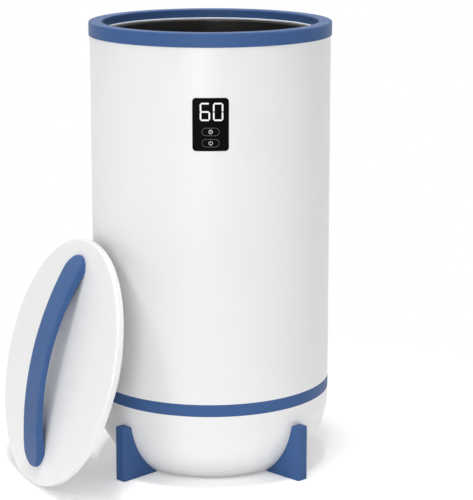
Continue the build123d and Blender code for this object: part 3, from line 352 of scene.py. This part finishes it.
def make_finishes():
    """All finishes of the bucket, by name."""
    tint = bpy.context.scene.bucket_colours
    skin = "moulded_skin"
    smooth = {"Roughness": 0.30, "Drift": 0.010, "Marks": 0.06}
    finish("white_plastic", skin, tint.white, smooth, (0.05, 0.02))
    satin = {"Roughness": 0.42, "Drift": 0.035, "Marks": 0.08}
    finish("blue_plastic", skin, tint.blue, satin, (0.10, 0.03), {"Specular IOR Level": 0.14})
    glossy = {"Roughness": 0.12, "Drift": 0.05, "Marks": 0.10}
    finish("window_gloss", skin, tint.window, glossy, (0.01, 0.01), {"Specular IOR Level": 0.04})
    grained = {"Roughness": 0.5, "Drift": 0.10, "Grain Size": 900.0}
    finish("black_plastic", skin, tint.black, grained, (0.25, 0.05))
    finish("grey_plastic", skin, tint.grey, grained | {"Roughness": 0.45, "Drift": 0.05}, (0.2, 0.05))
    dull = {"Roughness": 0.75, "Drift": 0.15, "Grain Size": 700.0}
    finish("rubber", skin, tint.rubber, dull, (0.35, 0.08))
    finish("silicone", skin, tint.silicone, {"Roughness": 0.42, "Drift": 0.03, "Marks": 0.1}, (0.1, 0.03))
    baked, sheen = {"Roughness": 0.42}, {"Specular IOR Level": 0.35}
    finish("bucket_coating", "mineral_flecks", tint.coating, baked, (0.25, 0.05), sheen)
    finish("steel", "brushed_grain", tint.steel, {"Roughness": 0.26}, (0.15, 0.02), {"Metallic": 1.0})
    finish("felt", "soft_fibres", tint.felt, {"Roughness": 0.95}, (0.6, 0.6))
    finish("foam", "soft_fibres", tint.foam, {"Roughness": 0.9, "Fibre Size": 1500.0}, (0.4, 0.3))
    finish("heating_mat", "woven_mat", tint.heater, {"Roughness": 0.5}, (0.4, 0.15))
    finish("circuit_board", "copper_tracks", tint.board, {"Roughness": 0.3}, (0.3, 0.05))
    printed = {"Roughness": 0.4, "Drift": 0.01, "Marks": 0.06}
    lit = {"Emission Color": (*tint.figures, 1.0), "Emission Strength": 0.92}
    finish("lit_figures", skin, tint.window, printed, (0.02, 0.01), lit)
    finish("printed_marks", skin, tint.marks, printed, (0.05, 0.01))
    finish("button_lines", skin, tint.outlines, printed, (0.05, 0.01))


def wear(finish_name, *names):
    """Gives a finish to nodes of the model."""
    for name in names:
        mesh = nodes[name].data
        mesh.materials.clear()
        mesh.materials.append(bpy.data.materials[f"{finish_name}_finish"])


# --- Surfaces -----------------------------------------------------------------
def grid_faces(rows, columns, wrap_rows, wrap_columns):
    """Corner numbers of the faces of a grid whose points are stored row by row."""
    row = np.arange(rows if wrap_rows else rows - 1)
    column = np.arange(columns if wrap_columns else columns - 1)
    row, column = (a.ravel() for a in np.meshgrid(row, column, indexing="ij"))
    next_row, next_column = (row + 1) % rows, (column + 1) % columns
    corners = (row * columns + column, next_row * columns + column)
    corners += (next_row * columns + next_column, row * columns + next_column)
    return np.stack(corners, axis=1)


def close_seams(mesh):
    """Merges the points that lie on each other where a grid ends on a pole."""
    work = bmesh.new()
    work.from_mesh(mesh)
    bmesh.ops.remove_doubles(work, verts=work.verts, dist=SEAM)
    work.to_mesh(mesh)
    work.free()


def new_piece(name, points, faces, finish_name, body, slot_name):
    """Makes an object of points and faces, smooth, with its finish, riding on a body."""
    mesh = bpy.data.meshes.new(name)
    mesh.from_pydata(points.tolist(), [], faces.tolist())
    close_seams(mesh)
    mesh.polygons.foreach_set("use_smooth", np.ones(len(mesh.polygons), bool))
    mesh.materials.append(bpy.data.materials[f"{finish_name}_finish"])
    piece = bpy.data.objects.new(name, mesh)
    bpy.context.scene.collection.objects.link(piece)
    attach(piece, body)


def joined(parts):
    """Points and faces of several parts as one."""
    counts = np.cumsum([0] + [len(points) for points, _ in parts])
    points = np.concatenate([points for points, _ in parts])
    faces = np.concatenate([faces + start for (_, faces), start in zip(parts, counts)])
    return points, faces


# --- Marks on the control panel ---------------------------------------------------
def window_radius():
    """Radius of the window's outer face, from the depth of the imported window."""
    low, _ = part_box("display_window")
    return -low.y


def panel_points(across, up, proud):
    """Points out on the curved window: an angle whose sine is the place across over the radius."""
    radius = window_radius()
    turn = np.arcsin(across / radius)
    reach = radius + proud
    return np.stack((reach * np.sin(turn), -reach * np.cos(turn), up), axis=-1)


def swept_mark(path, width, closed=False):
    """Mark that follows a line on the panel.

    Round each path point goes a flat superellipse: across the path half the width times the cosine, out of
    the window half the thickness times the sine, both to the power of the squareness. An open path closes
    at each end on a point.
    """
    marks = bpy.context.scene.bucket_marks
    path = np.asarray(path, float)
    if closed:
        along = np.roll(path, -1, axis=0) - np.roll(path, 1, axis=0)
    else:
        along = np.gradient(path, axis=0)
    along /= np.linalg.norm(along, axis=1, keepdims=True)
    side = np.stack((-along[:, 1], along[:, 0]), axis=1)
    width = np.broadcast_to(width, len(path))
    if not closed:
        path = np.concatenate((path[:1], path, path[-1:]))
        side = np.concatenate((side[:1], side, side[-1:]))
        width = np.concatenate(([0.0], width, [0.0]))
    turn = np.linspace(0, 2 * np.pi, SECTION_POINTS, endpoint=False)
    cosine, sine = (np.sign(f(turn)) * np.abs(f(turn)) ** SQUARENESS for f in (np.cos, np.sin))
    offset = 0.5 * width[:, None] * cosine[None, :]
    flat = path[:, None, :] + side[:, None, :] * offset[..., None]
    fullness = np.minimum(1.0, width / NARROW)
    proud = marks.lift + 0.5 * marks.thickness * sine[None, :] * fullness[:, None]
    points = panel_points(flat[..., 0], flat[..., 1], proud).reshape(-1, 3)
    return points, grid_faces(len(path), len(turn), closed, True)[:, ::-1]


def line(start, end, count=5):
    """Straight path between two points of the panel."""
    return np.linspace(start, end, count)


def arc(centre, radius, first, last, count=33):
    """Round path about a centre, from one angle to another, in degrees."""
    turn = np.radians(np.linspace(first, last, count))
    return np.stack((centre[0] + radius * np.cos(turn), centre[1] + radius * np.sin(turn)), axis=1)


def bar(start, end):
    """Lit bar of a digit: full width between pointed ends about half a width long."""
    width = bpy.context.scene.bucket_marks.bar_width
    path = line(start, end, BAR_POINTS)
    reach = np.linalg.norm(path - path[0], axis=1)
    to_end = np.minimum(reach, reach[-1] - reach)
    return swept_mark(path, width * np.clip(BAR_TIP + to_end / (width * 0.5), 0, 1))


BARS = {
    "6": ("top", "upper_left", "middle", "lower_left", "lower_right", "bottom"),
    "0": ("top", "upper_left", "upper_right", "lower_left", "lower_right", "bottom"),
}


def digit(figure, left):
    """Bars of one seven-bar digit whose left edge is given."""
    marks = bpy.context.scene.bucket_marks
    half = marks.bar_width / 2
    gap = marks.bar_gap / 2
    x = (left + half, left + marks.digit_width - half)
    low, high = marks.digit_low + half, marks.digit_low + marks.digit_height - half
    middle = (low + high) / 2
    places = {
        "top": ((x[0] + gap, high), (x[1] - gap, high)),
        "middle": ((x[0] + gap, middle), (x[1] - gap, middle)),
        "bottom": ((x[0] + gap, low), (x[1] - gap, low)),
        "upper_left": ((x[0], middle + gap), (x[0], high - gap)),
        "upper_right": ((x[1], middle + gap), (x[1], high - gap)),
        "lower_left": ((x[0], low + gap), (x[0], middle - gap)),
        "lower_right": ((x[1], low + gap), (x[1], middle - gap)),
    }
    return [bar(*places[name]) for name in BARS[figure]]


def button_face(name):
    """Corners (x, z) of the part of a button that shows, from its points on the window's face."""
    mesh = nodes[name].data
    points = np.empty(len(mesh.vertices) * 3, np.float32)
    mesh.vertices.foreach_get("co", points)
    points = points.reshape(-1, 3)
    face = points[np.hypot(points[:, 0], points[:, 1]) > window_radius() - FACE_DEPTH]
    return face[:, (0, 2)].min(0), face[:, (0, 2)].max(0)


def button_centre(name):
    """Centre (x, z) of a button."""
    low, high = button_face(name)
    return (0.0, float(low[1] + high[1]) / 2)


def button_line(name):
    """Line round a button, just inside its edge: two half circles joined by straight runs."""
    width = bpy.context.scene.bucket_marks.outline_width
    low, high = button_face(name)
    half = (high[1] - low[1]) / 2
    middle, radius, centre = (low[1] + high[1]) / 2, half - LINE_INSET * width, high[0] - half
    right = arc((centre, middle), radius, -90, 90, END_POINTS)
    left = arc((-centre, middle), radius, 90, 270, END_POINTS)
    upper = line((centre, middle + radius), (-centre, middle + radius), SIDE_POINTS)[1:-1]
    lower = upper[::-1] * (1, 0) + (0, middle - radius)
    return swept_mark(np.concatenate((right, upper, left, lower)), width, True)


def clock_icon(centre):
    """Clock: a ring and two hands, the long one upwards and the short one to the right."""
    marks = bpy.context.scene.bucket_marks
    across, up = centre
    radius, hand_width = marks.icon_radius, 0.8 * marks.icon_line
    ring = swept_mark(arc(centre, radius, 0, 360, 37)[:-1], marks.icon_line, True)
    long_hand = line((across, up - 0.1 * radius), (across, up + 0.62 * radius))
    short_hand = line((across, up), (across + 0.55 * radius, up))
    return [ring, swept_mark(long_hand, hand_width), swept_mark(short_hand, hand_width)]


def power_icon(centre):
    """Power sign: a ring open at the top and a stroke through the opening."""
    marks = bpy.context.scene.bucket_marks
    across, up = centre
    radius = marks.icon_radius
    ring = arc(centre, radius, 125, 415)
    stroke = line((across, up + 0.15 * radius), (across, up + 1.15 * radius))
    return [swept_mark(ring, marks.icon_line), swept_mark(stroke, marks.icon_line)]


# --- Operators ----------------------------------------------------------------------
class BUCKET_OT_finishes(bpy.types.Operator):
    """Make the effects and finishes that the pieces wear"""

    bl_idname = "bucket.finishes"
    bl_label = "Finishes"

    def execute(self, context):
        for effect in EFFECTS:
            effect()
        make_finishes()
        return {"FINISHED"}


class BUCKET_OT_shell(bpy.types.Operator):
    """Finish the shell, bowl, rim, trim ring and feet"""

    bl_idname = "bucket.shell"
    bl_label = "Shell and base"

    def execute(self, context):
        wear("white_plastic", "outer_shell", "base_bowl")
        feet = ("foot_front_left", "foot_front_right", "foot_rear_left", "foot_rear_right")
        wear("blue_plastic", "rim_ring", "trim_ring", *feet)
        wear("rubber", "foot_pads", "base_ring")
        wear("grey_plastic", "base_cover", "chassis", "upper_frame")
        wear("black_plastic", "cord_gland", "gland_nut")
        return {"FINISHED"}


class BUCKET_OT_chamber(bpy.types.Operator):
    """Finish the bucket and what is wrapped round it"""

    bl_idname = "bucket.chamber"
    bl_label = "Towel chamber"

    def execute(self, context):
        wear("bucket_coating", "inner_bucket")
        wear("silicone", "inner_gasket")
        wear("heating_mat", "heater_wrap", "heater_leads")
        wear("felt", "insulation_sleeve")
        return {"FINISHED"}


class BUCKET_OT_display(bpy.types.Operator):
    """Finish the window and lay the lit figures on it"""

    bl_idname = "bucket.display"
    bl_label = "Display"

    def execute(self, context):
        marks = context.scene.bucket_marks
        wear("window_gloss", "display_window")
        wear("black_plastic", "display_module", "control_housing")
        first = -(marks.digit_step + marks.digit_width) / 2 + FIGURES_SHIFT
        parts = digit("6", first) + digit("0", first + marks.digit_step)
        new_piece("display_figures", *joined(parts), "lit_figures", "bucket", "white_plastic")
        return {"FINISHED"}


class BUCKET_OT_buttons(bpy.types.Operator):
    """Finish both buttons and print their lines and icons"""

    bl_idname = "bucket.buttons"
    bl_label = "Buttons"

    def execute(self, context):
        for name, make_icon in (("timer", clock_icon), ("power", power_icon)):
            cap = f"{name}_button"
            wear("window_gloss", cap)
            wear("black_plastic", f"{name}_switch")
            wear("grey_plastic", f"{name}_switch_plunger")
            icon = joined(make_icon(button_centre(cap)))
            new_piece(f"{name}_line", *button_line(cap), "button_lines", cap, "grey_plastic")
            new_piece(f"{name}_icon", *icon, "printed_marks", cap, "grey_plastic")
        return {"FINISHED"}


class BUCKET_OT_electronics(bpy.types.Operator):
    """Finish the boards, sensors, wires and screws"""

    bl_idname = "bucket.electronics"
    bl_label = "Electronics"

    def execute(self, context):
        wear("circuit_board", "control_board", "power_board")
        wear("black_plastic", "relay", "filter_capacitor")
        wear("grey_plastic", "terminal_block", "ribbon_cable")
        wear("white_plastic", "ribbon_connectors")
        wear("steel", "transformer", "thermostat", "temperature_sensor", "thermal_fuse")
        wear("steel", "thermostat_bracket", "fuse_clip")
        wear("steel", *(name for name in nodes if name.endswith("_screws")))
        return {"FINISHED"}


class BUCKET_OT_lid(bpy.types.Operator):
    """Finish the lid, its handle and what is inside it"""

    bl_idname = "bucket.lid"
    bl_label = "Lid"

    def execute(self, context):
        wear("white_plastic", "lid_cover", "lid_liner")
        wear("blue_plastic", "lid_handle")
        wear("silicone", "lid_seal")
        wear("foam", "lid_insulation")
        return {"FINISHED"}


# --- Studio ---------------------------------------------------------------------------
def camera():
    """Camera in front of the bucket, looking a little down and to the right."""
    studio = bpy.context.scene.bucket_studio
    data = bpy.data.cameras.new("camera")
    data.lens = studio.lens
    data.shift_y = -studio.shift
    made = bpy.data.objects.new("camera", data)
    made.location = (0.0, -studio.distance, studio.height)
    made.rotation_euler = (math.pi / 2 - studio.tilt, 0.0, -studio.pan)
    bpy.context.scene.collection.objects.link(made)
    bpy.context.scene.camera = made


def white_to_camera(tree):
    """1 for rays from the camera, mirrors and glass, which see a white background, and 0 for the rest."""
    path = add(tree, "ShaderNodeLightPath").outputs
    seen = math_node(tree, "MAXIMUM", path["Is Camera Ray"], path["Is Glossy Ray"])
    return math_node(tree, "MAXIMUM", seen, path["Is Transmission Ray"])


def sky():
    """Even light from all round, seen as white."""
    world = bpy.data.worlds.new("studio")
    world.use_nodes = True
    tree = world.node_tree
    tree.nodes.clear()
    strength = bpy.context.scene.bucket_studio.sky
    light = add(tree, "ShaderNodeBackground", {"Color": WHITE, "Strength": strength}).outputs[0]
    white = add(tree, "ShaderNodeBackground", {"Color": WHITE, "Strength": 1.0}).outputs[0]
    both = add(tree, "ShaderNodeMixShader", {0: white_to_camera(tree), 1: light, 2: white})
    add(tree, "ShaderNodeOutputWorld", {"Surface": both.outputs[0]})
    bpy.context.scene.world = world


def lamp(name, side):
    """Square lamp that looks at the bucket's axis at the lamps' aim.

    It takes the settings that begin with its name. Its azimuth goes to the left where the side is 1, and to
    the right where it is -1.
    """
    studio = bpy.context.scene.bucket_studio
    size, azimuth, elevation, distance = (
        getattr(studio, f"{name}_{setting}") for setting in ("size", "azimuth", "elevation", "distance")
    )
    azimuth *= side
    data = bpy.data.lights.new(name, "AREA")
    data.energy = getattr(studio, name)
    data.size = size
    made = bpy.data.objects.new(name, data)
    level = distance * math.cos(elevation)
    up = LAMP_AIM + distance * math.sin(elevation)
    made.location = (-level * math.sin(azimuth), -level * math.cos(azimuth), up)
    made.rotation_euler = (math.pi / 2 - elevation, 0.0, -azimuth)
    bpy.context.scene.collection.objects.link(made)


def lamps():
    """Main lamp at the front left, soft lamp at the right, low lamp in front and lamp overhead."""
    for name, side in (("key", 1), ("fill", -1), ("low", 1), ("top", 1)):
        lamp(name, side)


def floor():
    """Pale round floor: a polar grid round a middle point, each ring larger by the same factor."""
    rings = FLOOR_FIRST_RING * FLOOR_GROWTH ** np.arange(FLOOR_RINGS)
    turn = np.linspace(0, 2 * np.pi, FLOOR_SPOKES, endpoint=False)
    across, back = np.outer(rings, np.cos(turn)), np.outer(rings, np.sin(turn))
    points = np.stack((across, back, np.zeros_like(across)), axis=-1).reshape(-1, 3)
    points = np.concatenate((points, [(0.0, 0.0, 0.0)]))
    spoke = np.arange(FLOOR_SPOKES)
    middle = np.stack((spoke, np.roll(spoke, -1), np.full(FLOOR_SPOKES, len(points) - 1)), axis=1)
    around = grid_faces(FLOOR_RINGS, FLOOR_SPOKES, False, True)[:, ::-1]
    mesh = bpy.data.meshes.new("floor")
    mesh.from_pydata(points.tolist(), [], around.tolist() + middle.tolist())
    mesh.materials.append(floor_finish())
    made = bpy.data.objects.new("floor", mesh)
    bpy.context.scene.collection.objects.link(made)


def floor_finish():
    """White paper that keeps the shadows near the bucket and goes over to plain white far from it."""
    studio = bpy.context.scene.bucket_studio
    material = bpy.data.materials.new("white_paper")
    material.use_nodes = True
    tree = material.node_tree
    tree.nodes.clear()
    place = add(tree, "ShaderNodeTexCoord").outputs["Object"]
    far = add(tree, "ShaderNodeVectorMath", {0: place}, operation="LENGTH").outputs["Value"]
    seen = white_to_camera(tree)
    faded = ranged(tree, far, (studio.fade_start, studio.fade_end))
    dull = {"Base Color": PAPER, "Roughness": 0.9, "Specular IOR Level": 0.0}
    paper = add(tree, "ShaderNodeBsdfPrincipled", dull).outputs[0]
    brightened = {"Strength": math_node(tree, "MULTIPLY", seen, studio.glow)}
    glow = add(tree, "ShaderNodeEmission", brightened).outputs[0]
    near = add(tree, "ShaderNodeAddShader", {0: paper, 1: glow}).outputs[0]
    white = add(tree, "ShaderNodeEmission", {"Color": WHITE, "Strength": 1.0}).outputs[0]
    share = math_node(tree, "MULTIPLY", faded, seen)
    both = add(tree, "ShaderNodeMixShader", {0: share, 1: near, 2: white})
    add(tree, "ShaderNodeOutputMaterial", {"Surface": both.outputs[0]})
    return material


class BUCKET_OT_studio(bpy.types.Operator):
    """Set up the camera, the lamps and the floor"""

    bl_idname = "bucket.studio"
    bl_label = "Studio"

    def execute(self, context):
        camera()
        sky()
        lamps()
        floor()
        context.scene.view_settings.view_transform = "Standard"
        return {"FINISHED"}


STEPS = (
    BUCKET_OT_studio,
    BUCKET_OT_finishes,
    BUCKET_OT_shell,
    BUCKET_OT_chamber,
    BUCKET_OT_display,
    BUCKET_OT_buttons,
    BUCKET_OT_electronics,
    BUCKET_OT_lid,
)


# --- Add-on -----------------------------------------------------------------------------
class BUCKET_PT_panel(bpy.types.Panel):
    """Sidebar panel with the bucket's settings and steps"""

    bl_idname = "BUCKET_PT_panel"
    bl_label = "Towel warmer bucket"
    bl_space_type = "VIEW_3D"
    bl_region_type = "UI"
    bl_category = "Bucket"

    def draw(self, context):
        for step in STEPS:
            self.layout.operator(step.bl_idname)
        for name, group in GROUPS.items():
            box = self.layout.box()
            for setting in group.__annotations__:
                box.prop(getattr(context.scene, name), setting)


CLASSES = (*GROUPS.values(), *STEPS, BUCKET_PT_panel)


def register():
    """Registers the classes and puts the settings on the scene."""
    for item in CLASSES:
        bpy.utils.register_class(item)
    for name, group in GROUPS.items():
        setattr(bpy.types.Scene, name, bpy.props.PointerProperty(type=group))


def unregister():
    """Takes the settings off the scene and removes the classes."""
    for name in GROUPS:
        delattr(bpy.types.Scene, name)
    for item in reversed(CLASSES):
        bpy.utils.unregister_class(item)


def main():
    """Runs every step in order."""
    register()
    for step in STEPS:
        group, name = step.bl_idname.split(".")
        getattr(getattr(bpy.ops, group), name)()
    bpy.context.view_layer.update()


if __name__ == "__main__":
    main()
